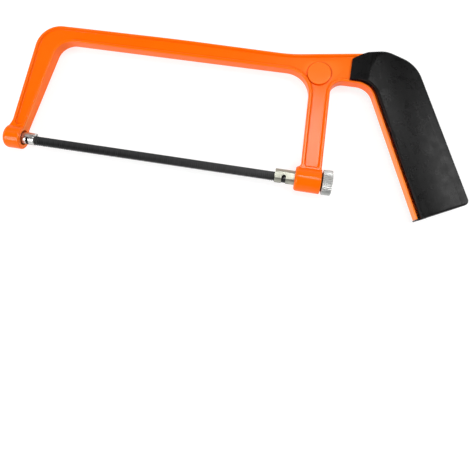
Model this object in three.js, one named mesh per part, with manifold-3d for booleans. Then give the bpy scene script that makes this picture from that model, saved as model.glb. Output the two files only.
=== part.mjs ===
// Junior hacksaw, lying on its side. Millimetres.
// X runs along the blade from the front pin towards the handle, Y from the bosses up to the spine,
// and Z is the thickness of the saw. The last lines move the origin to the middle of the footprint.
import * as THREE from "three";
import { mergeVertices } from "three/addons/utils/BufferGeometryUtils.js";
import Module from "manifold-3d";

// ---------- driving dimensions ----------

// Blade and the two pins through it
const PIN_SPACING = 145;
const PIN = { y: -0.8, radius: 0.6, half: 3, holeGap: 0.15 };
const BLADE = { back: 1.8, front: -3.4, half: 0.325, tail: 2.4, chamfer: 0.8 };
const TEETH = { from: 4, to: 141, pitch: 1.06, depth: 0.65, rake: 0.8 };

// Frame casting
const FRAME_HALF = 3.8;
const FRAME_EDGE = 0.8;
const RIM = { side: 2.4, top: 2.8, inner: 1.9, rear: 2.9, crook: 1.9 };
const PANEL = { depth: 1.3, cove: 1, corner: 0.9, end: 7.3, underGrip: 2.8 };
const DISC = { x: 156.3, y: 59.8, top: 3.9, radius: 6.5, flat: 6.05, chamfer: 0.5 };
const DISC_GROOVE = { radius: 7.05, depth: 0.45 };

// Front boss and the anchor fixed in it
const FRONT_BOSS = { from: -13.4, to: -3.3, radius: 6.6, fromEdge: 2.4, toEdge: 0.7 };
const ANCHOR = { from: -11.4, to: 3.8, radius: 3.4, chamfer: 0.3 };
const ANCHOR_BORE = { end: -11.8, radius: 3.7 };
const ANCHOR_MOUTH = { end: -6.6, radius: 4.25 };
const ANCHOR_PIN = { x: -9, radius: 1.25, chamfer: 0.25, gap: 0.3, bottom: -6.1, top: 3.2 };
const ANCHOR_SLIT_END = -4.9;
const NOTCH_HALF = 0.8;
const SLIT_HALF = 0.5;

// Rear boss, tension bar, washer and thumb nut
const REAR_BOSS = { from: 151.2, to: 165.2, radius: 6.75, fromEdge: 1.5, toEdge: 0.6 };
const BAR = { from: 140.5, shoulder: 161.2, to: 170.6, half: 3.6, radius: 4 };
const BAR_BORE = { end: 162.4, gap: 0.25 };
const SHANK = { radius: 2.5, chamfer: 0.5, gap: 0.3 };
const SLACK = 0.8;
const SLOT_GAP = 0.14;
const WASHER = { from: 165.4, to: 165.75, radius: 5.1 };
const NUT = { from: 165.95, to: 171.1, radius: 6.8, chamfer: 0.7 };
const NUT_COUNTERBORE = { radius: 3.4, depth: 0.6 };
const KNURL = { teeth: 40, depth: 0.38 };

// Grip
const GRIP_HALF = 7.5;
const GRIP_EDGE = 2.2;
const GRIP_WRAP = 3;
const GRIP_GAP = 0.3;
const SEAM_GAP = 0.2;
const CORE_HALF = 2.5;
const FLANGE = { fingers: 1.85, crook: 1.5 };
const RAMP = { from: 173.2, to: 191, low: 3.9, rise: 2, steep: 0.3, level: 0.5 };

const ROUND_SEGMENTS = 44;
const SMALL_ROUND_SEGMENTS = 20;
const SMALL_RADIUS = 2;
const ARC_STEP = Math.PI / 16;
const EDGE_STEPS = 3;
const GRIP_EDGE_STEPS = 4;
const BOSS_EDGE_STEPS = 5;
const RAMP_STEPS = 8;
const BEYOND = 5; // how far a cutter reaches past what it cuts

// ---------- outlines: corners [x, y, corner radius], clockwise seen from +Z ----------

const FRONT_ARM_OUTER = [[-11, 0, 0], [-7.7, 68.4, 14]];
const SPINE_TOP = [[75, 69.3, 1500], [139, 68.8, 80]];
const SPINE_TOP_END = [180.8, 74.8, 0];
const REAR_ARM = [[163.3, 56.9, 7], [164.9, 0, 0], [153.9, 0, 0], [151.8, 59.9, 14]];
const FRONT_ARM_INNER = [[5.5, 59.7, 10], [-3.9, 0, 0]];

// From the grip's lower front corner, over the top, down the back and up the finger side.
const GRIP = [
  [RAMP.from, 58.4, 0],
  [RAMP.from, 70.6, 0],
  [181, 74.6, 0],
  [190.6, 76.4, 14],
  [207.3, 70.7, 19],
  [240.9, -1, 2.6],
  [217.9, -12.7, 0],
  [185.4, 58.4, 12],
];
const GRIP_EDGES = { back: 4, bottom: 5, fingers: 6, crook: 7 };

// The closed line through the corners, as points, with an arc at each corner that has a radius.
function outline(corners) {
  const points = [];
  corners.forEach(([x, y, radius], i) => {
    const corner = new THREE.Vector2(x, y);
    if (!radius) {
      points.push(corner);
      return;
    }
    const [beforeX, beforeY] = corners.at(i - 1);
    const [afterX, afterY] = corners[(i + 1) % corners.length];
    const before = new THREE.Vector2(beforeX, beforeY).sub(corner).normalize();
    const after = new THREE.Vector2(afterX, afterY).sub(corner).normalize();
    const half = Math.acos(before.dot(after)) / 2;
    const turn = -Math.sign(before.cross(after)) * (Math.PI - 2 * half);
    const middle = before.clone().add(after).normalize();
    const centre = middle.multiplyScalar(radius / Math.sin(half)).add(corner);
    const start = before.multiplyScalar(radius / Math.tan(half)).add(corner);
    const steps = Math.max(2, Math.ceil(Math.abs(turn) / ARC_STEP));
    for (let step = 0; step <= steps; step++) {
      points.push(start.clone().rotateAround(centre, (turn * step) / steps));
    }
  });
  return points;
}

// Moves each edge inwards by its own distance; edge i starts at corner i.
function inset(corners, distances) {
  const edges = corners.map(([x, y], i) => {
    const [nextX, nextY] = corners[(i + 1) % corners.length];
    const along = new THREE.Vector2(nextX - x, nextY - y).normalize();
    const at = new THREE.Vector2(along.y, -along.x).multiplyScalar(distances[i]);
    return { at: at.add(new THREE.Vector2(x, y)), along };
  });
  return corners.map(([, , radius], i) => {
    const a = edges.at(i - 1);
    const b = edges[i];
    const turn = a.along.cross(b.along);
    const run = b.at.clone().sub(a.at).cross(b.along) / turn;
    const corner = a.along.clone().multiplyScalar(run).add(a.at);
    const mean = (distances.at(i - 1) + distances[i]) / 2;
    return [corner.x, corner.y, radius && Math.max(0, radius + Math.sign(turn) * mean)];
  });
}

// The grip's corners with every edge moved in by one distance, but for the edges that are named.
function gripInset(distance, named = {}) {
  const distances = GRIP.map(() => distance);
  for (const [edge, own] of Object.entries(named)) distances[GRIP_EDGES[edge]] = own;
  return inset(GRIP, distances);
}

// ---------- solids ----------

const wasm = await Module();
wasm.setup();

function solid(geometry) {
  const plain = geometry.index ? geometry.toNonIndexed() : geometry.clone();
  plain.deleteAttribute("normal");
  plain.deleteAttribute("uv");
  const merged = mergeVertices(plain, 1e-4);
  return new wasm.Manifold(
    new wasm.Mesh({
      numProp: 3,
      vertProperties: merged.attributes.position.array,
      triVerts: new Uint32Array(merged.index.array),
    }),
  );
}

// A plate between two heights, its edges rounded inwards from the outline.
function plate(points, bottom, top, round = 0, steps = EDGE_STEPS) {
  const geometry = new THREE.ExtrudeGeometry(new THREE.Shape(points), {
    depth: top - bottom - 2 * round,
    bevelEnabled: round > 0,
    bevelThickness: round,
    bevelSize: round,
    bevelOffset: -round,
    bevelSegments: steps,
  });
  return solid(geometry.translate(0, 0, bottom + round));
}

// A round piece about the X axis: [x, radius] points that start and end on the axis.
function turned(profile) {
  const points = profile.map(([x, radius]) => new THREE.Vector2(radius, x));
  return solid(new THREE.LatheGeometry(points, ROUND_SEGMENTS).rotateZ(-Math.PI / 2));
}

function rod(from, to, radius, chamferFrom = 0, chamferTo = 0) {
  const profile = [[from, 0], [from, radius - chamferFrom]];
  if (chamferFrom) profile.push([from + chamferFrom, radius]);
  if (chamferTo) profile.push([to - chamferTo, radius]);
  profile.push([to, radius - chamferTo], [to, 0]);
  return turned(profile);
}

function block(from, to) {
  const size = to.map((value, i) => value - from[i]);
  const middle = to.map((value, i) => (value + from[i]) / 2);
  return solid(new THREE.BoxGeometry(...size).translate(...middle));
}

// A round peg along Z, with a chamfer at each end.
function peg(x, y, bottom, top, radius, chamfer = 0, chamferLength = chamfer) {
  const profile = [[0, bottom], [radius - chamfer, bottom]];
  if (chamfer) profile.push([radius, bottom + chamferLength], [radius, top - chamferLength]);
  profile.push([radius - chamfer, top], [0, top]);
  const points = profile.map(([r, z]) => new THREE.Vector2(r, z));
  const segments = radius < SMALL_RADIUS ? SMALL_ROUND_SEGMENTS : ROUND_SEGMENTS;
  return solid(new THREE.LatheGeometry(points, segments).rotateX(Math.PI / 2).translate(x, y, 0));
}

// The same cutter on the upper and the lower face: makes it at a height and at minus that height.
function bothFaces(body, cutterAt) {
  return body.subtract(cutterAt(1)).subtract(cutterAt(-1));
}

// ---------- frame casting ----------

// The points of a quarter-round edge, from the boss's face to its side.
function quarterRound(face, inwards, radius, edge) {
  return Array.from({ length: BOSS_EDGE_STEPS + 1 }, (_, step) => {
    const angle = (step / BOSS_EDGE_STEPS) * (Math.PI / 2);
    return [face + inwards * edge * (1 - Math.cos(angle)), radius - edge * (1 - Math.sin(angle))];
  });
}

function boss({ from, to, radius, fromEdge, toEdge }) {
  const start = quarterRound(from, 1, radius, fromEdge);
  const end = quarterRound(to, -1, radius, toEdge).reverse();
  return turned([[from, 0], ...start, ...end, [to, 0]]);
}

// Spine, arms and handle core in one outline. The core lies inside the grip, and the flange beside it
// is left bare along the finger side.
function frameCorners() {
  const core = gripInset(GRIP_WRAP, { bottom: 0 });
  const [flangeToe, crook] = gripInset(0, { fingers: -FLANGE.fingers, crook: -FLANGE.crook }).slice(6);
  return [
    ...FRONT_ARM_OUTER,
    ...SPINE_TOP,
    SPINE_TOP_END,
    ...core.slice(2, 6),
    flangeToe,
    crook,
    ...REAR_ARM,
    ...FRONT_ARM_INNER,
  ];
}

// The room under the core for the bottom of the grip, which leaves only the flange full length.
function coreFoot() {
  const [heelTop, flangeTop] = gripInset(GRIP_WRAP, { back: -BEYOND, fingers: -SEAM_GAP }).slice(5);
  const [heel, flangeHeel] = gripInset(-BEYOND, { fingers: -SEAM_GAP }).slice(5);
  return [heelTop, heel, flangeHeel, flangeTop].map(([x, y]) => new THREE.Vector2(x, y));
}

// The sunk side panel follows the spine and both arms, ends square above each boss and runs on
// under the front of the grip.
function panelCorners() {
  const gripEnd = RAMP.from + PANEL.underGrip;
  const [kinkX, kinkY] = SPINE_TOP.at(-1);
  const [endX, endY] = SPINE_TOP_END;
  const topAtGrip = kinkY + ((gripEnd - kinkX) * (endY - kinkY)) / (endX - kinkX);
  const around = [
    ...FRONT_ARM_OUTER,
    ...SPINE_TOP,
    [gripEnd, topAtGrip, 0],
    [gripEnd, REAR_ARM[0][1], 0],
    ...REAR_ARM,
    ...FRONT_ARM_INNER,
  ];
  const front = [RIM.side, RIM.top, RIM.top, RIM.top, 0, RIM.crook];
  const arms = [RIM.rear, PANEL.end, RIM.side, RIM.inner, RIM.inner, PANEL.end];
  return inset(around, [...front, ...arms]).map(([x, y, radius]) => [x, y, radius || PANEL.corner]);
}

function panelCutter(side) {
  const geometry = new THREE.ExtrudeGeometry(new THREE.Shape(outline(panelCorners())), {
    depth: BEYOND,
    bevelThickness: PANEL.depth,
    bevelSize: PANEL.cove,
    bevelSegments: EDGE_STEPS,
  });
  return solid(geometry.translate(0, 0, side > 0 ? FRAME_HALF : -FRAME_HALF - BEYOND));
}

function slab(points, side, from, to) {
  return side > 0 ? plate(points, from, to) : plate(points, -to, -from);
}

function discGroove(side) {
  const floor = FRAME_HALF - PANEL.depth;
  const bottom = side > 0 ? floor - DISC_GROOVE.depth : -floor;
  return peg(DISC.x, DISC.y, bottom, bottom + DISC_GROOVE.depth, DISC_GROOVE.radius);
}

// Round stock with four flats, which keep it from turning.
function flattedRod(from, to, gap = 0) {
  const half = BAR.half + gap;
  return block([from, -half, -half], [to, half, half]).intersect(rod(from, to, BAR.radius + gap));
}

function barBore() {
  const shank = rod(REAR_BOSS.from, REAR_BOSS.to + BEYOND, SHANK.radius + SHANK.gap);
  return flattedRod(REAR_BOSS.from - BEYOND, BAR_BORE.end, BAR_BORE.gap).add(shank);
}

function anchorBore() {
  const bore = rod(ANCHOR_BORE.end, FRONT_BOSS.to + BEYOND, ANCHOR_BORE.radius);
  const mouth = rod(ANCHOR_MOUTH.end, FRONT_BOSS.to + BEYOND, ANCHOR_MOUTH.radius);
  const pinHole = peg(
    ANCHOR_PIN.x,
    0,
    -FRONT_BOSS.radius - BEYOND,
    ANCHOR_PIN.top + ANCHOR_PIN.gap,
    ANCHOR_PIN.radius + ANCHOR_PIN.gap,
  );
  return bore.add(mouth).add(pinHole);
}

function frameCasting() {
  const rebate = outline(gripInset(-SEAM_GAP));
  let body = plate(outline(frameCorners()), -FRAME_HALF, FRAME_HALF, FRAME_EDGE);
  body = bothFaces(body, panelCutter);
  body = bothFaces(body, discGroove);
  body = bothFaces(body, (side) => slab(rebate, side, CORE_HALF, FRAME_HALF + BEYOND));
  body = body.subtract(plate(coreFoot(), -FRAME_HALF - BEYOND, FRAME_HALF + BEYOND));
  const disc = peg(DISC.x, DISC.y, -DISC.top, DISC.top, DISC.radius, DISC.radius - DISC.flat, DISC.chamfer);
  return body
    .add(disc)
    .add(boss(FRONT_BOSS))
    .add(boss(REAR_BOSS))
    .subtract(anchorBore())
    .subtract(barBore());
}

// ---------- grip ----------

// The room that the casting takes inside the grip, with the gap around it.
function gripHollow() {
  const [rimEnd, top, knuckle, heel] = gripInset(GRIP_WRAP - GRIP_GAP).slice(2, 6);
  const rim = new THREE.Vector2(SPINE_TOP_END[0] - rimEnd[0], SPINE_TOP_END[1] - rimEnd[1]).normalize();
  const across = new THREE.Vector2(rim.y, -rim.x).multiplyScalar(GRIP_GAP);
  const start = new THREE.Vector2(rimEnd[0], rimEnd[1]).add(across);
  const above = start.clone().add(rim.multiplyScalar(2 * BEYOND));
  const toe = gripInset(GRIP_WRAP - GRIP_GAP, { fingers: -BEYOND })[6];
  return outline([
    [above.x, above.y, 0],
    [start.x, start.y, 0],
    top,
    knuckle,
    heel,
    toe,
    [RAMP.from - BEYOND, toe[1], 0],
    [RAMP.from - BEYOND, above.y, 0],
  ]);
}

// Lets the side pad rise in a curve from the front edge to its full thickness.
function rampCutter(side) {
  const shape = new THREE.Shape();
  const length = RAMP.to - RAMP.from;
  shape.moveTo(RAMP.from - BEYOND, RAMP.low);
  shape.lineTo(RAMP.from, RAMP.low);
  shape.bezierCurveTo(
    RAMP.from + length * RAMP.steep, RAMP.low + RAMP.rise,
    RAMP.from + length * RAMP.level, GRIP_HALF,
    RAMP.to, GRIP_HALF,
  );
  shape.lineTo(RAMP.to, GRIP_HALF + BEYOND);
  shape.lineTo(RAMP.from - BEYOND, GRIP_HALF + BEYOND);
  const height = 2 * GRIP[1][1];
  const geometry = new THREE.ExtrudeGeometry(shape, {
    depth: height,
    bevelEnabled: false,
    curveSegments: RAMP_STEPS,
  });
  geometry.rotateX((side * Math.PI) / 2);
  return solid(geometry.translate(0, side > 0 ? height : 0, 0));
}

function grip() {
  const shell = plate(outline(GRIP), -GRIP_HALF, GRIP_HALF, GRIP_EDGE, GRIP_EDGE_STEPS);
  const hollow = plate(gripHollow(), -CORE_HALF - GRIP_GAP, CORE_HALF + GRIP_GAP);
  return bothFaces(shell.subtract(hollow), rampCutter);
}

// ---------- blade and its holders ----------

// A slit open all through a holder, for the blade.
function slit(from, to) {
  return block([from, -BEYOND, -SLIT_HALF], [to, BEYOND, SLIT_HALF]);
}

// A notch across a holder for a blade pin, open at the bottom and round at the top.
function pinNotch(from, to) {
  const half = (to - from) / 2;
  const floor = block([from, -BEYOND, -BEYOND], [to, PIN.y, BEYOND]);
  return floor.add(peg(from + half, PIN.y, -BEYOND, BEYOND, half));
}

function frontAnchor() {
  const hole = peg(ANCHOR_PIN.x, 0, -BEYOND, BEYOND, ANCHOR_PIN.radius + ANCHOR_PIN.gap);
  return rod(ANCHOR.from, ANCHOR.to, ANCHOR.radius, ANCHOR.chamfer, ANCHOR.chamfer)
    .subtract(slit(ANCHOR_SLIT_END, ANCHOR.to + BEYOND))
    .subtract(pinNotch(-NOTCH_HALF, NOTCH_HALF))
    .subtract(hole);
}

function anchorPin() {
  return peg(ANCHOR_PIN.x, 0, ANCHOR_PIN.bottom, ANCHOR_PIN.top, ANCHOR_PIN.radius, ANCHOR_PIN.chamfer);
}

// The notch is longer than the pin by the slack, so that the bar can move forward and free the blade.
function tensionBar() {
  const reach = PIN.radius + SLOT_GAP;
  return flattedRod(BAR.from, BAR.shoulder)
    .add(rod(BAR.shoulder - BEYOND, BAR.to, SHANK.radius, 0, SHANK.chamfer))
    .subtract(slit(BAR.from - BEYOND, PIN_SPACING + BLADE.tail + SLACK + GRIP_GAP))
    .subtract(pinNotch(PIN_SPACING - reach, PIN_SPACING + reach + SLACK));
}

function thrustWasher() {
  const hole = rod(WASHER.from - BEYOND, WASHER.to + BEYOND, SHANK.radius + SHANK.gap);
  return rod(WASHER.from, WASHER.to, WASHER.radius).subtract(hole);
}

function thumbNut() {
  const ridges = Array.from({ length: 2 * KNURL.teeth }, (_, i) => {
    const angle = (i * Math.PI) / KNURL.teeth;
    const radius = i % 2 ? NUT.radius - KNURL.depth : NUT.radius;
    return new THREE.Vector2(radius * Math.cos(angle), radius * Math.sin(angle));
  });
  const geometry = new THREE.ExtrudeGeometry(new THREE.Shape(ridges), {
    depth: NUT.to - NUT.from,
    bevelEnabled: false,
  });
  const knurled = solid(geometry.rotateY(Math.PI / 2).translate(NUT.from, 0, 0));
  const chamfered = rod(NUT.from, NUT.to, NUT.radius, NUT.chamfer, NUT.chamfer);
  const hole = rod(NUT.from - BEYOND, NUT.to + BEYOND, SHANK.radius + SHANK.gap);
  const counterbore = rod(NUT.to - NUT_COUNTERBORE.depth, NUT.to + BEYOND, NUT_COUNTERBORE.radius);
  return knurled.intersect(chamfered).subtract(hole).subtract(counterbore);
}

function blade() {
  const start = -BLADE.tail;
  const end = PIN_SPACING + BLADE.tail;
  const root = BLADE.front + TEETH.depth;
  const points = [
    new THREE.Vector2(start, BLADE.back - BLADE.chamfer),
    new THREE.Vector2(start + BLADE.chamfer, BLADE.back),
    new THREE.Vector2(end - BLADE.chamfer, BLADE.back),
    new THREE.Vector2(end, BLADE.back - BLADE.chamfer),
    new THREE.Vector2(end, BLADE.front + BLADE.chamfer),
    new THREE.Vector2(end - BLADE.chamfer, BLADE.front),
    new THREE.Vector2(TEETH.to + TEETH.pitch, BLADE.front),
  ];
  const teeth = Math.floor((TEETH.to - TEETH.from) / TEETH.pitch);
  for (let tooth = 0; tooth < teeth; tooth++) {
    const gullet = TEETH.to - tooth * TEETH.pitch;
    points.push(new THREE.Vector2(gullet, root));
    points.push(new THREE.Vector2(gullet - TEETH.rake * TEETH.pitch, BLADE.front));
  }
  points.push(new THREE.Vector2(TEETH.to - teeth * TEETH.pitch, root));
  points.push(new THREE.Vector2(TEETH.to - (teeth + 1) * TEETH.pitch, BLADE.front));
  points.push(new THREE.Vector2(start + BLADE.chamfer, BLADE.front));
  points.push(new THREE.Vector2(start, BLADE.front + BLADE.chamfer));
  const hole = PIN.radius + PIN.holeGap;
  return plate(points, -BLADE.half, BLADE.half)
    .subtract(peg(0, PIN.y, -BEYOND, BEYOND, hole))
    .subtract(peg(PIN_SPACING, PIN.y, -BEYOND, BEYOND, hole));
}

function bladePin(x) {
  return peg(x, PIN.y, -PIN.half, PIN.half, PIN.radius, PIN.radius / 4);
}

// ---------- the saw ----------

const paint = { color: 0xfd6a08, roughness: 0.3, metalness: 0 };
const rubber = { color: 0x1c1c1c, roughness: 0.75, metalness: 0 };
const plating = { color: 0xd8d8d6, roughness: 0.22, metalness: 1 };
const bladeSteel = { color: 0x2b2c2d, roughness: 0.5, metalness: 0.6 };

const saw = new THREE.Group();

function piece(name, body, look) {
  const made = body.getMesh();
  const geometry = new THREE.BufferGeometry();
  geometry.setAttribute("position", new THREE.BufferAttribute(made.vertProperties, 3));
  geometry.setIndex(new THREE.BufferAttribute(made.triVerts, 1));
  geometry.computeVertexNormals();
  const mesh = new THREE.Mesh(geometry, new THREE.MeshStandardMaterial(look));
  mesh.name = name;
  saw.add(mesh);
}

piece("frame_casting", frameCasting(), paint);
piece("handle_grip", grip(), rubber);
piece("front_anchor", frontAnchor(), plating);
piece("anchor_spring_pin", anchorPin(), plating);
piece("tension_bar", tensionBar(), plating);
piece("thrust_washer", thrustWasher(), plating);
piece("thumb_nut", thumbNut(), plating);
piece("blade", blade(), bladeSteel);
piece("blade_pin_front", bladePin(0), bladeSteel);
piece("blade_pin_rear", bladePin(PIN_SPACING), bladeSteel);

// The saw rests on its grip: the origin is the middle of its footprint, at that height.
const bounds = new THREE.Box3().setFromObject(saw);
const middle = bounds.getCenter(new THREE.Vector3());
saw.position.set(-middle.x, -middle.y, -bounds.min.z);

export default saw;
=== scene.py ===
import math

import bmesh
import bpy
from mathutils import Matrix, Vector


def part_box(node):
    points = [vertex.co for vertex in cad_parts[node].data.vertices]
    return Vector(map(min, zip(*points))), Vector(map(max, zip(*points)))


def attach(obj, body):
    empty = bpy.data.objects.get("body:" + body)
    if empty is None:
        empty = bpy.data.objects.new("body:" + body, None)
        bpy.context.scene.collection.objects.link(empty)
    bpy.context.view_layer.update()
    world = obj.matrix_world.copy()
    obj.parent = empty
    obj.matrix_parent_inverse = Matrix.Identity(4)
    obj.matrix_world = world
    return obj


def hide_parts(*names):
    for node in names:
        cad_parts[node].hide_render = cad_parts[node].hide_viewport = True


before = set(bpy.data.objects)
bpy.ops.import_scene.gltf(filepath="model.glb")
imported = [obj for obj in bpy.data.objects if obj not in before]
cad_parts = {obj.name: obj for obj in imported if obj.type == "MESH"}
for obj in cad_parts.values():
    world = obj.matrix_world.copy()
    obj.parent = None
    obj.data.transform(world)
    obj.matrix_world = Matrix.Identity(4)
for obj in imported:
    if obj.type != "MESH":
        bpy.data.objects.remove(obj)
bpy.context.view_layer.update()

# ---------- sizes and places ----------
# Millimetres from the front blade pin: X along the blade, Y from the bosses' axis, Z from the middle plane.

MM_PER_METRE = 1000
PIN = {"y": -0.8, "radius": 0.6, "half": 3.0, "edge": 0.15}
pin_low, pin_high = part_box("blade_pin_front")
AXIS_POINT = (pin_low + pin_high) / 2 - Vector((0, PIN["y"], 0)) / MM_PER_METRE
PIN_SPACING = (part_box("blade_pin_rear")[0].x - pin_low.x) * MM_PER_METRE

FRAME_HALF = 3.8
FRAME_EDGE = 0.7
RIM = {"side": 2.4, "top": 2.1, "inner": 2.2, "rear": 2.3, "crook": 2.0}
PANEL = {"depth": 1.3, "corner": 0.9, "end": 7.3, "under_grip": 2.8}
PANEL_WALL = {"slope": math.radians(62), "foot": 0.35, "brow": 0.35, "steps": 5}
DISC = {"x": 156.3, "y": 59.8, "top": 3.8, "radius": 6.5, "edge": 0.5}
DISC_GROOVE = {"radius": 7.1, "depth": 0.7}
FRONT_BOSS = {"from": -13.4, "to": -3.3, "radius": 6.6, "from_edge": 2.4, "to_edge": 0.7}
REAR_BOSS = {"from": 151.2, "to": 165.2, "radius": 6.75, "from_edge": 1.5, "to_edge": 0.6}
ANCHOR = {"from": -11.4, "to": 3.8, "radius": 3.4, "edge": 0.3, "slit": -4.9, "notch": 0.8}
ANCHOR_BORE = {"from": -11.8, "radius": 3.7, "mouth_from": -6.6, "mouth": 4.25}
BAR = {"from": 140.5, "shoulder": 161.2, "to": 170.6, "half": 3.6, "radius": 4.0, "edge": 0.3}
BAR_BORE = {"to": 162.4, "gap": 0.25}
SHANK = {"radius": 2.5, "gap": 0.3, "edge": 0.5}
BAR_SLIT_END = 148.5
BAR_NOTCH = {"from": 144.26, "to": 146.54}
SLIT_HALF = 0.5
NUT = {"from": 165.95, "to": 171.1, "radius": 6.8, "edge": 0.55, "recess": 3.4, "recess_depth": 0.6}
KNURL = {"teeth": 44, "depth": 0.36, "steps": 6, "sharpness": 1.3}
WASHER = {"from": 165.4, "to": 165.75, "radius": 5.1, "edge": 0.1}
BLADE = {"back": 1.8, "front": -3.4, "half": 0.325, "tail": 2.4, "corner": 0.8, "hole_gap": 0.15}
TEETH = {"from": 4.0, "to": 141.0, "pitch": 1.06, "depth": 0.65, "rake": 0.8}
SET = {"wave": 3.3, "reach": 0.24, "height": 0.5, "fade": 3.0}
GRIP_HALF = 7.5
GRIP_EDGE = 2.2
GRIP_WRAP = 3.0
GRIP_GAP = 0.3
SEAM_GAP = 0.2
CORE_HALF = 2.5
FLANGE = {"fingers": 1.85, "crook": 1.5}
CHANNEL = {"fingers": 1.15, "crook": 0.9, "floor": 0.8, "overlap": 0.05}
END_LIP = {"height": 0.7, "reach": 1.95}
RAMP = {"from": 173.2, "to": 191.0, "low": 3.9, "steps": 60}
# The rise is one curve: where its two handles are along its length, and how far the first one lifts it.
RAMP_EASE = {"leaving": 0.3, "lift": 2.0, "reaching": 0.5}
# How far a cutter reaches past what it cuts.
BEYOND = 5.0
ARC_STEP = math.radians(4)
ARC_LEAST_STEPS = 3
TURNS = 96
PEG_TURNS = 64
PIN_TURNS = 32
# Steps of a quarter round.
ROUND_STEPS = 6
PEG_ROUND_STEPS = 4
BOSS_ROUND_STEPS = {"from": 10, "to": 8}
# The least cosine that a corner's shift is divided by, which keeps a sharp corner from flying off.
CORNER_COSINE = 0.3
# Metres below which points are merged: on a piece and on the floor.
WELD = {"piece": 2e-6, "floor": 1e-5}
# Degrees between two faces, above which their shared edge is shaded sharp.
SHARP = {"cast": 40, "moulded": 40, "turned": 35, "knurled": 50, "ground": 30}

# Corners (x, y, corner radius), clockwise seen from above.
FRONT_ARM_OUTER = [(-11, 0, 0), (-7.7, 68.4, 14)]
SPINE_TOP = [(75, 69.3, 1500), (139, 68.8, 80)]
SPINE_TOP_END = (180.8, 74.8, 0)
REAR_ARM = [(163.3, 56.9, 7), (164.9, 0, 0), (153.9, 0, 0), (151.8, 59.9, 14)]
FRONT_ARM_INNER = [(5.5, 59.7, 10), (-3.9, 0, 0)]
# Where the arms widen into their bosses.
FRONT_FLARE = [(-12.3, 0, 0), (-12.3, 4.8, 0), (-10.65, 8.3, 9)]
REAR_FLARE = [(152.7, 0, 0), (152.7, 6.2, 0), (153.64, 7.6, 2)]
# Front low, front top, the casting rim's end, top, knuckle, heel, toe and crook.
GRIP = [
    (RAMP["from"], 58.4, 0),
    (RAMP["from"], 70.6, 0),
    (181, 74.6, 0),
    (190.6, 76.4, 14),
    (207.3, 70.7, 19),
    (240.9, -1, 2.6),
    (217.9, -12.7, 0),
    (185.4, 58.4, 12),
]
GRIP_CROWN = {"height": 1.0, "width": 14, "reach": 60, "steps": 120}
# Each of these edges starts at the corner with its number.
GRIP_EDGES = {"back": 4, "bottom": 5, "fingers": 6, "crook": 7}


def place(x, y, z):
    """The point in the frame's own metres."""
    return AXIS_POINT + Vector((x, y, z)) / MM_PER_METRE


# ---------- outlines ----------


def outline(corners):
    """The closed line through the corners as (x, y) points, with an arc where a corner has a radius."""
    points = []
    for i, (x, y, radius) in enumerate(corners):
        corner = Vector((x, y))
        if not radius:
            points.append(corner)
            continue
        before = (Vector(corners[i - 1][:2]) - corner).normalized()
        after = (Vector(corners[(i + 1) % len(corners)][:2]) - corner).normalized()
        half = math.acos(max(-1, min(1, before.dot(after)))) / 2
        turn = -math.copysign(math.pi - 2 * half, before.cross(after))
        centre = corner + (before + after).normalized() * (radius / math.sin(half))
        start = corner + before * (radius / math.tan(half)) - centre
        steps = max(ARC_LEAST_STEPS, math.ceil(abs(turn) / ARC_STEP))
        for step in range(steps + 1):
            points.append(centre + Matrix.Rotation(turn * step / steps, 2) @ start)
    return points


def inset(corners, distances):
    """The same corners with each edge moved inwards by its own distance."""
    edges = []
    for i, (x, y, _) in enumerate(corners):
        after = corners[(i + 1) % len(corners)]
        along = Vector((after[0] - x, after[1] - y)).normalized()
        edges.append((Vector((x, y)) + Vector((along.y, -along.x)) * distances[i], along))
    moved = []
    for i, (_, _, radius) in enumerate(corners):
        (at_a, along_a), (at_b, along_b) = edges[i - 1], edges[i]
        turn = along_a.cross(along_b)
        corner = at_a + along_a * ((at_b - at_a).cross(along_b) / turn)
        mean = (distances[i - 1] + distances[i]) / 2
        grown = max(0, radius + math.copysign(mean, turn * mean)) if radius else 0
        moved.append((corner.x, corner.y, grown))
    return moved


def grip_inset(distance, **own_distances):
    """The grip's corners moved inwards; an edge that is given by name has its own distance."""
    distances = [distance] * len(GRIP)
    for edge, own in own_distances.items():
        distances[GRIP_EDGES[edge]] = own
    return inset(GRIP, distances)


def shrink(points, distance):
    """Each point of a clockwise line moved inwards along the middle of its two edges."""
    moved = []
    for i, point in enumerate(points):
        a = (point - points[i - 1]).normalized()
        b = (points[(i + 1) % len(points)] - point).normalized()
        normal_a, normal_b = Vector((a.y, -a.x)), Vector((b.y, -b.x))
        middle = (normal_a + normal_b).normalized()
        moved.append(point + middle * (distance / max(CORNER_COSINE, middle.dot(normal_a))))
    return moved


def circle(radius, count):
    """Points of a circle, with a flat facing each axis."""
    angles = [2 * math.pi * (i + 0.5) / count for i in range(count)]
    return [(radius * math.cos(a), radius * math.sin(a)) for a in angles]


# ---------- solids ----------


def in_scene(name, data):
    """A new object, linked into the scene."""
    piece = bpy.data.objects.new(name, data)
    bpy.context.scene.collection.objects.link(piece)
    return piece


def finished(bm, name):
    """An object made from the mesh under construction."""
    mesh = bpy.data.meshes.new(name)
    bm.to_mesh(mesh)
    bm.free()
    return in_scene(name, mesh)


def loft(rings):
    """A solid through rings of points with the same count; the first and the last ring are capped."""
    bm = bmesh.new()
    loops = [[bm.verts.new(place(*p)) for p in ring] for ring in rings]
    for low, high in zip(loops, loops[1:]):
        for i in range(len(low)):
            bm.faces.new((low[i - 1], low[i], high[i], high[i - 1]))
    bm.faces.new(loops[0][::-1])
    bm.faces.new(loops[-1])
    bmesh.ops.recalc_face_normals(bm, faces=bm.faces)
    return finished(bm, "solid")


def rounding(radius, steps=ROUND_STEPS):
    """(inset, height) steps of a quarter round, from the side to the top face."""
    angles = [math.pi / 2 * i / steps for i in range(steps + 1)]
    return [(radius * (1 - math.cos(a)), radius * math.sin(a)) for a in angles]


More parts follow.
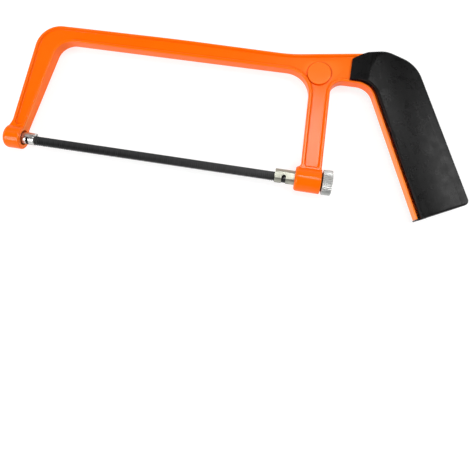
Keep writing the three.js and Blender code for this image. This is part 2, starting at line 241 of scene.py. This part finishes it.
def plate(points, bottom, top, edge=0.0):
    """A plate between two heights; its outline shrinks at the rounded edges."""
    if not edge:
        return loft([[(*p, bottom) for p in points], [(*p, top) for p in points]])
    rings = []
    for moved_in, up in reversed(rounding(edge)):
        rings.append([(*p, bottom + edge - up) for p in shrink(points, moved_in)])
    for moved_in, up in rounding(edge):
        rings.append([(*p, top - edge + up) for p in shrink(points, moved_in)])
    return loft(rings)


def turned(profile):
    """A round solid about the bosses' axis, from (x, radius) points; the ends are flat discs."""
    return loft([[(x, *p) for p in circle(radius, TURNS)] for x, radius in profile])


def rod(start, end, radius, edge=0.0, end_edge=None):
    """A rod about the bosses' axis, with rounded ends; its far end can have an edge of its own."""
    end_edge = edge if end_edge is None else end_edge
    profile = [(start, radius)]
    if edge:
        profile = [(start + edge - up, radius - moved) for moved, up in reversed(rounding(edge))]
    if end_edge:
        profile += [(end - end_edge + up, radius - moved) for moved, up in rounding(end_edge)]
    else:
        profile.append((end, radius))
    return turned(profile)


def peg(x, y, bottom, top, radius, edge=0.0, count=PEG_TURNS):
    """A round solid that stands along Z at x, y, with rounded ends."""
    profile = [(bottom, radius), (top, radius)]
    if edge:
        quarter = rounding(edge, PEG_ROUND_STEPS)
        profile = [(bottom + edge - up, radius - moved) for moved, up in reversed(quarter)]
        profile += [(top - edge + up, radius - moved) for moved, up in quarter]
    return loft([[(x + dx, y + dy, z) for dx, dy in circle(r, count)] for z, r in profile])


def block(low, high):
    """A box between two corners."""
    (x0, y0, z0), (x1, y1, z1) = low, high
    square = [(x0, y0), (x0, y1), (x1, y1), (x1, y0)]
    return loft([[(*p, z) for p in square] for z in (z0, z1)])


def apply_modifiers(piece):
    graph = bpy.context.evaluated_depsgraph_get()
    mesh = bpy.data.meshes.new_from_object(piece.evaluated_get(graph))
    piece.modifiers.clear()
    piece.data = mesh


def combine(piece, operation, *others):
    """The piece after a boolean step with each of the others, which are used up."""
    for other in others:
        step = piece.modifiers.new("step", "BOOLEAN")
        step.operation = operation
        step.solver = "MANIFOLD"
        step.object = other
    apply_modifiers(piece)
    for other in others:
        bpy.data.objects.remove(other)
    return piece


def add(piece, *others):
    return combine(piece, "UNION", *others)


def cut(piece, *others):
    return combine(piece, "DIFFERENCE", *others)


def common(piece, *others):
    return combine(piece, "INTERSECT", *others)


def hand_in(piece, name, body, stands_for, material):
    """Names and paints the piece; it rides on the body and takes the place of the CAD node stands_for."""
    piece.name = name
    piece.data.name = name
    piece.data.materials.clear()
    piece.data.materials.append(material)
    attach(piece, body)
    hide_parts(stands_for)


def smooth(piece, degrees):
    """Smooth shading, but for edges sharper than the angle; large faces stay flat up to their edge."""
    bm = bmesh.new()
    bm.from_mesh(piece.data)
    bmesh.ops.remove_doubles(bm, verts=bm.verts, dist=WELD["piece"])
    for face in bm.faces:
        face.smooth = True
    for edge in bm.edges:
        edge.smooth = edge.is_manifold and edge.calc_face_angle(math.pi) < math.radians(degrees)
    bm.to_mesh(piece.data)
    bm.free()
    normals = piece.modifiers.new("normals", "WEIGHTED_NORMAL")
    normals.keep_sharp = True
    normals.weight = 60
    return piece


# ---------- materials ----------


class Surface:
    """A Principled material with helpers for the node work around it."""

    def __init__(self, name, **values):
        self.material = bpy.data.materials.new(name)
        self.material.use_nodes = True
        self.tree = self.material.node_tree
        self.shader = self.tree.nodes["Principled BSDF"]
        for socket, value in values.items():
            self.shader.inputs[socket.replace("_", " ")].default_value = value
        self.coordinates = self.tree.nodes.new("ShaderNodeTexCoord")

    def node(self, kind, values=None, **settings):
        """A new node: values go to its sockets and settings to its own properties."""
        made = self.tree.nodes.new(kind)
        for key, value in settings.items():
            setattr(made, key, value)
        for key, value in (values or {}).items():
            made.inputs[key].default_value = value
        return made

    def link(self, start, end):
        self.tree.links.new(start, end)

    def noise(self, scale, detail=4.0, roughness=0.55, stretch=(1, 1, 1)):
        """Noise in the piece's own space; a stretch below 1 draws it out along that axis."""
        mapping = self.node("ShaderNodeMapping", {"Scale": stretch})
        self.link(self.coordinates.outputs["Object"], mapping.inputs["Vector"])
        made = self.node("ShaderNodeTexNoise", {"Scale": scale, "Detail": detail, "Roughness": roughness})
        self.link(mapping.outputs["Vector"], made.inputs["Vector"])
        return made.outputs["Fac"]

    def spread(self, value, low, high, start=0.3, end=0.7):
        """The value's range from start to end, mapped to low and high."""
        made = self.node(
            "ShaderNodeMapRange",
            {"From Min": start, "From Max": end, "To Min": low, "To Max": high},
        )
        self.link(value, made.inputs["Value"])
        return made.outputs["Result"]

    def mix(self, factor, first, second):
        """One colour blended into another; either can be three numbers or a node's output."""
        made = self.node("ShaderNodeMix", data_type="RGBA")
        self.link(factor, made.inputs["Factor"])
        for name, colour in (("A", first), ("B", second)):
            target = next(i for i in made.inputs if i.name == name and i.type == "RGBA")
            if isinstance(colour, tuple):
                target.default_value = (*colour, 1)
            else:
                self.link(colour, target)
        return next(o for o in made.outputs if o.type == "RGBA")

    def edges(self, low, high):
        """How much a point is on an outward edge, from the mesh's own pointiness between two limits."""
        geometry = self.node("ShaderNodeNewGeometry")
        return self.spread(geometry.outputs["Pointiness"], 0.0, 1.0, low, high)

    def colour(self, value):
        self.link(value, self.shader.inputs["Base Color"])

    def roughness(self, value):
        self.link(value, self.shader.inputs["Roughness"])

    def bump(self, *layers):
        """The layers are (height, distance in millimetres, strength), stacked in order."""
        normal = None
        for height, distance, strength in layers:
            height_scale = distance / MM_PER_METRE
            made = self.node("ShaderNodeBump", {"Strength": strength, "Distance": height_scale})
            self.link(height, made.inputs["Height"])
            if normal is not None:
                self.link(normal, made.inputs["Normal"])
            normal = made.outputs["Normal"]
        self.link(normal, self.shader.inputs["Normal"])


def paint():
    """Glossy powder coat: a faint orange peel, and a painted highlight: a touch lighter orange on outward
    edges.
    """
    s = Surface("orange_powder_coat", Specular_IOR_Level=0.04, Coat_Weight=0.28, Coat_Roughness=0.17)
    body = s.mix(s.spread(s.noise(45), 0, 1), (0.99, 0.15, 0.0), (0.96, 0.138, 0.0))
    # Painted highlight: lighter orange on outward edges, along the rims and outlines.
    s.colour(s.mix(s.edges(0.515, 0.55), body, (0.98, 0.23, 0.025)))
    s.roughness(s.spread(s.noise(160), 0.32, 0.42))
    s.bump((s.noise(900, detail=2.0), 0.02, 0.05), (s.noise(110, detail=2.0), 0.08, 0.015))
    return s.material


def rubber():
    """Matt black rubber: a fine grain over a slow mottling, and a little grey on its edges."""
    s = Surface("black_soft_grip", Specular_IOR_Level=0.1)
    mottling = s.spread(s.noise(60, detail=5.0), 0, 1)
    body = s.mix(mottling, (0.001, 0.001, 0.001), (0.004, 0.004, 0.004))
    s.colour(s.mix(s.edges(0.505, 0.56), body, (0.008, 0.008, 0.0083)))
    s.roughness(s.spread(s.noise(220, detail=5.0, roughness=0.65), 0.22, 0.36))
    s.bump((s.noise(2600, detail=3.0), 0.03, 0.4), (s.noise(240), 0.1, 0.25))
    return s.material


def plating(name, colour, low, high, stretch, metallic=1.0):
    """Plated steel with fine marks along the stretch, and a roughness between low and high."""
    s = Surface(name, Metallic=metallic)
    dulled = tuple(c * 0.86 for c in colour)
    s.colour(s.mix(s.spread(s.noise(250, detail=3.0), 0, 1), colour, dulled))
    s.roughness(s.spread(s.noise(300, 3.0, 0.6, stretch), low, high))
    s.bump((s.noise(900, 2.0, 0.5, stretch), 0.012, 0.25))
    return s.material


def blade_steel():
    """Blackened strip with fine marks along it, worn to grey at the tooth tips and back edge."""
    s = Surface("blackened_blade", Metallic=0.0, Specular_IOR_Level=0.12)
    streaks = s.spread(s.noise(420, 3.0, 0.6, (0.03, 1, 1)), 0, 1)
    body = s.mix(streaks, (0.002, 0.002, 0.002), (0.022, 0.022, 0.022))
    s.colour(s.mix(s.edges(0.54, 0.62), body, (0.06, 0.06, 0.062)))
    s.roughness(s.spread(s.noise(500, 3.0, 0.5, (0.1, 1, 1)), 0.3, 0.42))
    s.bump((s.noise(1500, 3.0, 0.5, (0.08, 1, 1)), 0.02, 0.3))
    return s.material


def dark_steel(name, colour):
    """Dark hardened steel, faintly mottled."""
    s = Surface(name, Metallic=0.0, Specular_IOR_Level=0.08)
    lighter = tuple(c * 1.5 for c in colour)
    s.colour(s.mix(s.spread(s.noise(400), 0, 1), colour, lighter))
    s.roughness(s.spread(s.noise(500), 0.4, 0.55))
    s.bump((s.noise(1400, detail=2.0), 0.01, 0.2))
    return s.material


PAINT = paint()
RUBBER = rubber()
# Where the marks on plating run: a number below 1 draws the noise out along that axis.
ROUND_THE_PIECE = (1, 0.15, 0.15)
ALONG_THE_KNURL = (0.2, 1, 1)
PLATING = plating("bright_plating", (0.62, 0.62, 0.6), 0.28, 0.4, ROUND_THE_PIECE)
# The bar is plated like the anchor; its darker, yellower colour is painted shade, and it is a little less
# metallic and rougher.
SHADED_BAR_PLATING = plating("satin_plating_painted_shade", (0.37, 0.37, 0.31), 0.34, 0.42, ROUND_THE_PIECE, 0.8)
NUT_PLATING = plating("nickel_plating", (0.62, 0.625, 0.61), 0.36, 0.48, ALONG_THE_KNURL, 0.75)
BLADE_STEEL = blade_steel()
PIN_STEEL = dark_steel("pin_steel", (0.004, 0.004, 0.0042))
WASHER_STEEL = dark_steel("washer_steel", (0.02, 0.02, 0.021))

# ---------- frame casting ----------


def boss(size):
    """A round boss on its axis; its two ends are rounded by different amounts."""
    radius = size["radius"]
    start = size["from"] + size["from_edge"]
    end = size["to"] - size["to_edge"]
    start_round = rounding(size["from_edge"], BOSS_ROUND_STEPS["from"])
    end_round = rounding(size["to_edge"], BOSS_ROUND_STEPS["to"])
    profile = [(start - up, radius - moved) for moved, up in reversed(start_round)]
    profile += [(end + up, radius - moved) for moved, up in end_round]
    return turned(profile)


def frame_corners():
    """Spine, arms and handle core in one outline; a flange runs down the finger side of the core."""
    core = grip_inset(GRIP_WRAP, bottom=END_LIP["height"])[2:6]
    flange = {"fingers": -FLANGE["fingers"], "crook": -FLANGE["crook"]}
    toe, crook = grip_inset(0, bottom=END_LIP["height"] + SEAM_GAP, **flange)[6:]
    front = [*FRONT_FLARE, *FRONT_ARM_OUTER[1:], *SPINE_TOP, SPINE_TOP_END]
    rear = [crook, *REAR_ARM[:2], *REAR_FLARE, *REAR_ARM[3:]]
    return [*front, *core, toe, *rear, *FRONT_ARM_INNER]


def core_foot():
    """What the core loses at the grip's end: the rubber closes it off, but for the flange."""
    heel_top, flange_top = grip_inset(GRIP_WRAP, back=-BEYOND, fingers=-SEAM_GAP)[5:7]
    heel, flange_heel = grip_inset(-BEYOND, fingers=-SEAM_GAP)[5:7]
    return [Vector(c[:2]) for c in (heel_top, heel, flange_heel, flange_top)]


def panel_corners():
    """The sunk panel follows the bow's outline inside its rims, and runs on under the grip."""
    end = RAMP["from"] + PANEL["under_grip"]
    kink = SPINE_TOP[-1]
    rise = (SPINE_TOP_END[1] - kink[1]) / (SPINE_TOP_END[0] - kink[0])
    around = [*FRONT_ARM_OUTER, *SPINE_TOP, (end, kink[1] + (end - kink[0]) * rise, 0)]
    around += [(end, REAR_ARM[0][1], 0), *REAR_ARM, *FRONT_ARM_INNER]
    # One rim for each edge, in the order of the corners.
    rims = [RIM["side"], RIM["top"], RIM["top"], RIM["top"], 0, RIM["crook"]]
    rims += [RIM["rear"], PANEL["end"], RIM["side"], RIM["inner"], RIM["inner"], PANEL["end"]]
    return [(x, y, radius or PANEL["corner"]) for x, y, radius in inset(around, rims)]


def panel_wall():
    """(outward, upward) steps of the wall: a fillet at its foot, a slope, and a rounded rim edge."""
    slope, foot, brow, steps = (PANEL_WALL[key] for key in ("slope", "foot", "brow", "steps"))
    depth = PANEL["depth"]
    angles = [slope * i / steps for i in range(steps + 1)]
    wall = [(foot * math.sin(a), foot * (1 - math.cos(a))) for a in angles]
    width = depth / math.tan(slope) + (foot + brow) * math.tan(slope / 2)
    wall += [(width - brow * math.sin(a), depth - brow * (1 - math.cos(a))) for a in reversed(angles)]
    return wall


def panel_cutter(side):
    """What one panel takes out of the casting; side is 1 for the upper face and -1 for the lower."""
    points = outline(panel_corners())
    panel_floor = FRAME_HALF - PANEL["depth"]
    wall = panel_wall()
    rings = [[(*p, side * (panel_floor + up)) for p in shrink(points, -out)] for out, up in wall]
    rings.append([(*p, side * (FRAME_HALF + BEYOND)) for p in shrink(points, -wall[-1][0])])
    return loft(rings if side > 0 else rings[::-1])


def slab(points, side, start, end):
    """A plate between two distances from the middle plane, on one side of it."""
    return plate(points, start, end) if side > 0 else plate(points, -end, -start)


def channel(side):
    """The deep groove between the bare flange and the rubber beside it."""
    outer = outline(grip_inset(-SEAM_GAP, fingers=-CHANNEL["fingers"], crook=-CHANNEL["crook"]))
    overlap = CHANNEL["overlap"]
    inner = outline(grip_inset(-SEAM_GAP - overlap, fingers=overlap - SEAM_GAP, crook=overlap - SEAM_GAP))
    ring = slab(outer, side, CHANNEL["floor"], FRAME_HALF + BEYOND)
    return cut(ring, plate(inner, -2 * BEYOND, 2 * BEYOND))


def flatted_rod(start, end, gap=0.0, edge=0.0):
    """Round stock with four flats, which keep it from turning."""
    half = BAR["half"] + gap
    square = block((start, -half, -half), (end, half, half))
    return common(square, rod(start, end, BAR["radius"] + gap, edge, 0))


def frame_casting():
    """The bow, the bosses and the handle's core, which are one casting."""
    panel_floor = FRAME_HALF - PANEL["depth"]
    above = FRAME_HALF + BEYOND
    rebate = outline(grip_inset(-SEAM_GAP))
    body = plate(outline(frame_corners()), -FRAME_HALF, FRAME_HALF, FRAME_EDGE)
    for side in (1, -1):
        low = panel_floor - DISC_GROOVE["depth"] if side > 0 else -panel_floor
        groove = peg(DISC["x"], DISC["y"], low, low + DISC_GROOVE["depth"], DISC_GROOVE["radius"])
        cut(body, panel_cutter(side), groove, slab(rebate, side, CORE_HALF, above))
        cut(body, channel(side))
    cut(body, plate(core_foot(), -above, above))
    disc = peg(DISC["x"], DISC["y"], -DISC["top"], DISC["top"], DISC["radius"], DISC["edge"], TURNS)
    add(body, disc, boss(FRONT_BOSS), boss(REAR_BOSS))
    front_end = FRONT_BOSS["to"] + BEYOND
    bore = rod(ANCHOR_BORE["from"], front_end, ANCHOR_BORE["radius"])
    mouth = rod(ANCHOR_BORE["mouth_from"], front_end, ANCHOR_BORE["mouth"])
    rear_start = REAR_BOSS["from"] - BEYOND
    bar_bore = flatted_rod(rear_start, BAR_BORE["to"], BAR_BORE["gap"])
    shank_bore = rod(rear_start, REAR_BOSS["to"] + BEYOND, SHANK["radius"] + SHANK["gap"])
    return cut(body, bore, mouth, bar_bore, shank_bore)


casting = smooth(frame_casting(), SHARP["cast"])
hand_in(casting, "cast_frame", "frame", "frame_casting", PAINT)

# ---------- grip ----------


def ramp_cutter(side):
    """What the side pad loses at the front, where it rises in a curve to its full thickness."""
    x0, x1, low = RAMP["from"], RAMP["to"], RAMP["low"]
    length = x1 - x0
    leaving = (x0 + length * RAMP_EASE["leaving"], low + RAMP_EASE["lift"])
    reaching = (x0 + length * RAMP_EASE["reaching"], GRIP_HALF)
    handles = [(x0, low), leaving, reaching, (x1, GRIP_HALF)]
    line = [(x0 - BEYOND, low)]
    for i in range(RAMP["steps"] + 1):
        t = i / RAMP["steps"]
        weights = [(1 - t) ** 3, 3 * t * (1 - t) ** 2, 3 * t * t * (1 - t), t**3]
        line.append(tuple(sum(w * h[k] for w, h in zip(weights, handles)) for k in (0, 1)))
    line += [(x1, GRIP_HALF + BEYOND), (x0 - BEYOND, GRIP_HALF + BEYOND)]
    below_handle, above_handle = -60, 160
    return loft([[(x, y, side * z) for x, z in line] for y in (below_handle, above_handle)])


def grip_hollow():
    """The room for the core, open towards the fingers and the bow."""
    inner = grip_inset(GRIP_WRAP - GRIP_GAP)
    rim_end, top, knuckle, heel = inner[2:6]
    rim = Vector((SPINE_TOP_END[0] - rim_end[0], SPINE_TOP_END[1] - rim_end[1])).normalized()
    start = Vector(rim_end[:2]) + Vector((rim.y, -rim.x)) * GRIP_GAP
    above = start + rim * (2 * BEYOND)
    toe = grip_inset(GRIP_WRAP - GRIP_GAP, fingers=-BEYOND)[6]
    front = RAMP["from"] - BEYOND
    corners = [(*above, 0), (*start, 0), top, knuckle, heel, toe, (front, toe[1], 0), (front, above.y, 0)]
    return outline(corners)


def crowned_slab():
    """A long slab that runs down the handle and falls away from its middle line on both faces."""
    corners = [Vector(c[:2]) for c in GRIP[4:]]
    middle = sum(corners, Vector((0, 0))) / len(corners)
    along = (corners[1] - corners[0]).normalized()
    across = Vector((along.y, -along.x))
    height, width, reach, steps = (GRIP_CROWN[key] for key in ("height", "width", "reach", "steps"))
    line = []
    for i in range(steps + 1):
        u = reach * (2 * i / steps - 1)
        fall = height * (1 - math.exp(-((u / width) ** 2)))
        line.append((middle + across * u, GRIP_HALF - fall))
    around = line + [(p, -z) for p, z in reversed(line)]
    return loft([[(*(p + along * s), z) for p, z in around] for s in (-2 * reach, 2 * reach)])


def end_lip():
    """The rubber's thin foot below the flange."""
    heel, crook = (Vector(c[:2]) for c in GRIP[6:])
    up = (crook - heel).normalized()
    out = Vector((-up.y, up.x))
    if out.x > 0:
        out = -out
    height, reach = up * END_LIP["height"], out * END_LIP["reach"]
    inside = heel - out * GRIP_WRAP
    return plate([inside, heel + reach, heel + reach + height, inside + height], -FRAME_HALF, FRAME_HALF)


def handle_grip():
    """The rubber, with its crowned faces, its hollow and the two curved rises at its front."""
    body = plate(outline(GRIP), -GRIP_HALF, GRIP_HALF, GRIP_EDGE)
    common(body, crowned_slab())
    add(body, end_lip())
    cut(body, plate(grip_hollow(), -CORE_HALF - GRIP_GAP, CORE_HALF + GRIP_GAP))
    return cut(body, ramp_cutter(1), ramp_cutter(-1))


grip = smooth(handle_grip(), SHARP["moulded"])
hand_in(grip, "soft_grip", "frame", "handle_grip", RUBBER)

# ---------- holders and nut ----------


def slit(start, end):
    """The cut that the blade sits in."""
    return block((start, -BEYOND, -SLIT_HALF), (end, BEYOND, SLIT_HALF))


def notch(start, end):
    """The cut across that a blade pin sits in: round at its top and open below."""
    half = (end - start) / 2
    longer = BEYOND + 0.5
    below = block((start, -BEYOND, -BEYOND), (end, PIN["y"], BEYOND))
    return add(below, peg(start + half, PIN["y"], -longer, longer, half))


def front_anchor():
    """The fixed stud that holds the blade's front pin."""
    body = rod(ANCHOR["from"], ANCHOR["to"], ANCHOR["radius"], ANCHOR["edge"])
    return cut(body, slit(ANCHOR["slit"], ANCHOR["to"] + BEYOND), notch(-ANCHOR["notch"], ANCHOR["notch"]))


def tension_bar():
    """The sliding bar, which holds the blade's rear pin, and its shank."""
    body = flatted_rod(BAR["from"], BAR["shoulder"], edge=BAR["edge"])
    add(body, rod(BAR["shoulder"] - BEYOND, BAR["to"], SHANK["radius"], 0, SHANK["edge"]))
    return cut(body, slit(BAR["from"] - BEYOND, BAR_SLIT_END), notch(BAR_NOTCH["from"], BAR_NOTCH["to"]))


def thumb_nut():
    """A round nut with a straight knurl, rounded at both ends and sunk round its hole."""
    steps = KNURL["steps"]
    count = KNURL["teeth"] * steps
    ring = []
    for i in range(count):
        angle = 2 * math.pi * i / count
        ridge = abs(2 * (i % steps) / steps - 1) ** KNURL["sharpness"]
        radius = NUT["radius"] - KNURL["depth"] * (1 - ridge)
        ring.append((radius * math.cos(angle), radius * math.sin(angle)))
    body = loft([[(x, *p) for p in ring] for x in (NUT["from"], NUT["to"])])
    common(body, rod(NUT["from"], NUT["to"], NUT["radius"], NUT["edge"]))
    hole = rod(NUT["from"] - BEYOND, NUT["to"] + BEYOND, SHANK["radius"] + SHANK["gap"])
    recess = rod(NUT["to"] - NUT["recess_depth"], NUT["to"] + BEYOND, NUT["recess"])
    return cut(body, hole, recess)


def thrust_washer():
    """The thin ring between the rear boss and the nut."""
    body = rod(WASHER["from"], WASHER["to"], WASHER["radius"], WASHER["edge"])
    return cut(body, rod(WASHER["from"] - BEYOND, WASHER["to"] + BEYOND, SHANK["radius"] + SHANK["gap"]))


anchor = smooth(front_anchor(), SHARP["turned"])
hand_in(anchor, "anchor_stud", "frame", "front_anchor", PLATING)
bar = smooth(tension_bar(), SHARP["turned"])
hand_in(bar, "sliding_bar", "bar", "tension_bar", SHADED_BAR_PLATING)
nut = smooth(thumb_nut(), SHARP["knurled"])
hand_in(nut, "knurled_nut", "nut", "thumb_nut", NUT_PLATING)
washer = smooth(thrust_washer(), SHARP["turned"])
hand_in(washer, "dark_washer", "frame", "thrust_washer", WASHER_STEEL)

# ---------- blade ----------


def tooth_set(x):
    """How far the wavy set pushes the tooth edge to one side; it fades out at the ends of the teeth."""
    fade = max(0, min(1, (x - TEETH["from"]) / SET["fade"], (TEETH["to"] - x) / SET["fade"]))
    return SET["reach"] * fade * math.sin(2 * math.pi * x / SET["wave"])


def blade_strip():
    """The toothed strip, from cross sections at (x, back, front)."""
    start, end = -BLADE["tail"], PIN_SPACING + BLADE["tail"]
    back, front, corner, half = (BLADE[key] for key in ("back", "front", "corner", "half"))
    pitch = TEETH["pitch"]
    root = front + TEETH["depth"]
    sections = [(start, back - corner, front + corner), (start + corner, back, front)]
    sections.append((TEETH["from"] - pitch, back, front))
    count = int((TEETH["to"] - TEETH["from"]) / pitch)
    first = TEETH["to"] - count * pitch
    for tooth in range(count):
        gullet = first + tooth * pitch
        tip = gullet + (1 - TEETH["rake"]) * pitch
        sections += [(gullet, back, root), (tip, back, front)]
    sections += [(TEETH["to"], back, root), (TEETH["to"] + pitch, back, front)]
    sections += [(end - corner, back, front), (end, back - corner, front + corner)]
    rings = []
    for x, top, bottom in sections:
        bend = max(bottom, root) + SET["height"]
        aside = tooth_set(x)
        near = [(x, top, half), (x, bend, half), (x, bottom, half + aside)]
        far = [(x, bottom, aside - half), (x, bend, -half), (x, top, -half)]
        rings.append(near + far)
    hole = PIN["radius"] + BLADE["hole_gap"]
    return cut(loft(rings), *(peg(x, PIN["y"], -BEYOND, BEYOND, hole) for x in (0, PIN_SPACING)))


def cross_pin(x):
    """One of the blade's two pins."""
    return peg(x, PIN["y"], -PIN["half"], PIN["half"], PIN["radius"], PIN["edge"], PIN_TURNS)


strip = smooth(blade_strip(), SHARP["ground"])
hand_in(strip, "blade_strip", "blade", "blade", BLADE_STEEL)
for end, x in (("front", 0), ("rear", PIN_SPACING)):
    pin = smooth(cross_pin(x), SHARP["turned"])
    hand_in(pin, f"cross_pin_{end}", "blade", f"blade_pin_{end}", PIN_STEEL)

# The anchor's own pin is out of sight inside the front boss, so it keeps its CAD shape.
spring_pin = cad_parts["anchor_spring_pin"]
spring_pin.data.materials.clear()
spring_pin.data.materials.append(PIN_STEEL)

# ---------- floor, light and camera, in metres ----------

FLOOR = {"flat": 3.0, "bend": 1.7, "bend_steps": 12, "steepest": math.radians(88), "turns": 48}
# Cosines of the angle to the ceiling's middle, between which the walls' grey fades to its dark part.
CEILING_FADE = (0.78, 0.86)


def studio_floor():
    """A round white sheet that curves up at its far edge, as in a photo studio."""
    flat, bend, steps = FLOOR["flat"], FLOOR["bend"], FLOOR["bend_steps"]
    angles = [FLOOR["steepest"] * i / steps for i in range(steps + 1)]
    profile = [(0, 0)] + [(flat + bend * math.sin(a), bend * (1 - math.cos(a))) for a in angles]
    bm = bmesh.new()
    line = [bm.verts.new((x, 0, z)) for x, z in profile]
    geom = line + [bm.edges.new(pair) for pair in zip(line, line[1:])]
    turns = FLOOR["turns"]
    bmesh.ops.spin(bm, geom=geom, axis=(0, 0, 1), angle=2 * math.pi, steps=turns, use_merge=True)
    bmesh.ops.remove_doubles(bm, verts=bm.verts, dist=WELD["floor"])
    piece = finished(bm, "floor")
    s = Surface(
        "floor_white",
        Base_Color=(0.3, 0.3, 0.3, 1),
        Roughness=0.9,
        Specular_IOR_Level=0.0,
        Emission_Color=(1, 1, 1, 1),
        Emission_Strength=0.8,
    )
    piece.data.materials.append(s.material)


def softbox(name, at, aims_at, size, radiance):
    """A white rectangular light that looks equally bright at any size."""
    light = bpy.data.lights.new(name, "AREA")
    light.shape = "RECTANGLE"
    light.size, light.size_y = size
    light.energy = radiance * math.pi * size[0] * size[1]
    piece = in_scene(name, light)
    piece.location = at
    piece.rotation_euler = (Vector(aims_at) - Vector(at)).to_track_quat("-Z", "Y").to_euler()


def room(ceiling, dark, walls):
    """Grey walls around a dark part of the ceiling, in the direction given."""
    world = bpy.data.worlds.new("studio")
    world.use_nodes = True
    tree = world.node_tree
    direction = tree.nodes.new("ShaderNodeTexCoord")
    towards = tree.nodes.new("ShaderNodeVectorMath")
    towards.operation = "DOT_PRODUCT"
    towards.inputs[1].default_value = Vector(ceiling).normalized()
    fade = tree.nodes.new("ShaderNodeMapRange")
    fade.inputs["From Min"].default_value, fade.inputs["From Max"].default_value = CEILING_FADE
    fade.inputs["To Min"].default_value = walls
    fade.inputs["To Max"].default_value = dark
    tree.links.new(direction.outputs["Generated"], towards.inputs[0])
    tree.links.new(towards.outputs["Value"], fade.inputs["Value"])
    tree.links.new(fade.outputs["Result"], tree.nodes["Background"].inputs["Strength"])
    tree.nodes["Background"].inputs["Color"].default_value = (1, 1, 1, 1)
    bpy.context.scene.world = world


def camera(at, aims_at, roll, lens, shift_y):
    """A camera with Y upwards in its picture before the roll."""
    data = bpy.data.cameras.new("camera")
    data.lens = lens
    data.shift_y = shift_y
    data.clip_start = 0.01
    forward = (Vector(aims_at) - Vector(at)).normalized()
    up = Vector((0, 1, 0))
    up = (up - forward * up.dot(forward)).normalized()
    rolled_up = up * math.cos(roll) + forward.cross(up) * math.sin(roll)
    axes = Matrix((forward.cross(rolled_up), rolled_up, -forward)).transposed()
    piece = in_scene("camera", data)
    piece.matrix_world = Matrix.Translation(at) @ axes.to_4x4()
    bpy.context.scene.camera = piece


studio_floor()
softbox("overhead", (0.07, 0.245, 1.0), (0.07, 0.245, 0.0), (0.16, 0.25), 19.0)
softbox("overhead_right", (0.63, 0.21, 1.0), (0.63, 0.21, 0.0), (0.5, 0.42), 11.0)
softbox("back", (0.1, 1.1, 0.75), (0.0, 0.0, 0.0), (1.6, 0.8), 0.6)
softbox("left", (-0.95, 0.4, 0.7), (0.0, 0.0, 0.0), (0.6, 0.6), 1.6)
softbox("front_left", (-0.71, -0.69, 0.83), (0.0, 0.0, 0.0), (0.48, 0.48), 12.0)
room(ceiling=(-0.1, 0.3, 1.0), dark=0.01, walls=0.06)
bpy.context.scene.view_settings.view_transform = "Standard"
camera(
    at=(0.03196, -0.08232, 0.27283),
    aims_at=(0.00581, -0.03442, 0.0075),
    roll=math.radians(-9.54),
    lens=38.129,
    shift_y=-0.1277,
)
